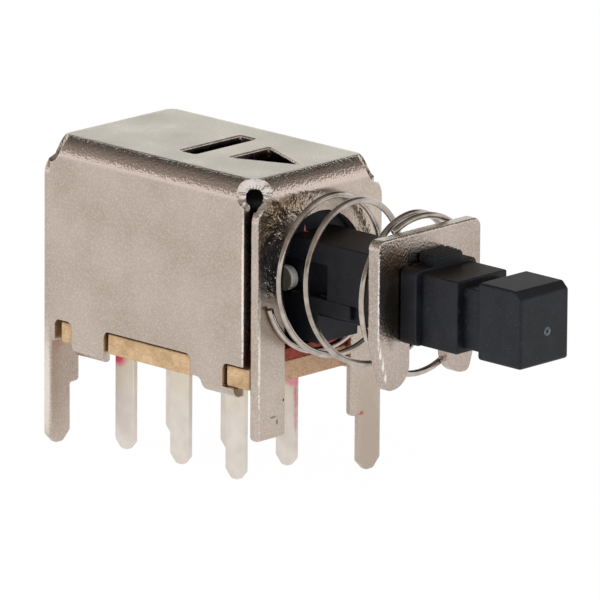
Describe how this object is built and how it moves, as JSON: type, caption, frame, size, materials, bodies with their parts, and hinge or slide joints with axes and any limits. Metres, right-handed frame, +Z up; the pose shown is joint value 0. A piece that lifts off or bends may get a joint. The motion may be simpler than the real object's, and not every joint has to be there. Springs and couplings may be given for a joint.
{
  "type": "latching push switch",
  "caption": "Latching push switch: folded nickel steel case on solder pins, black square plunger with an outside return spring and a retaining plate.",
  "frame": {"origin": "centre of the overall box in X and Y, level with the terminal tips", "axes": "+X out along the plunger, from the case to the button tip; +Y across the case; +Z up, away from the circuit board"},
  "size_m": [0.0292, 0.009, 0.0158],
  "materials": {
    "nickel": "satin nickel plate",
    "plate_nickel": "satin nickel plate",
    "board": "phenolic paper, matt",
    "red": "moulded phenolic",
    "silver": "matt silver plate",
    "contact": "silver plate",
    "black": "moulded, fine matt",
    "wire": "bright drawn wire"
  },
  "bodies": {
    "case": {"case": "nickel", "terminal_board": "board", "contact_base": "red", "terminal_near_1": "silver", "terminal_near_2": "silver", "terminal_near_3": "silver", "terminal_far_1": "silver", "terminal_far_2": "silver", "terminal_far_3": "silver", "return_spring": "wire", "latch_leaf": "wire"},
    "plunger": {"plunger": "black", "retaining_plate": "plate_nickel", "sliding_contact_near": "contact", "sliding_contact_far": "contact", "cross_spring_front": "wire", "cross_spring_rear": "wire"},
    "latch_pin": {"latch_pin": "wire"}
  },
  "joints": [
    {"name": "plunger_slide", "type": "slide", "parent": "case", "child": "plunger", "axis": [1, 0, 0], "range_m": [-0.0038, 0], "stiffness_N_per_m": 400, "springref_m": 0.002, "deforming": ["return_spring"]},
    {"name": "latch_pin_swing", "type": "hinge", "parent": "case", "child": "latch_pin", "pos_m": [-0.01298, 0, 0.01458], "axis": [0, 0, 1], "range_deg": [0, 13]}
  ]
}
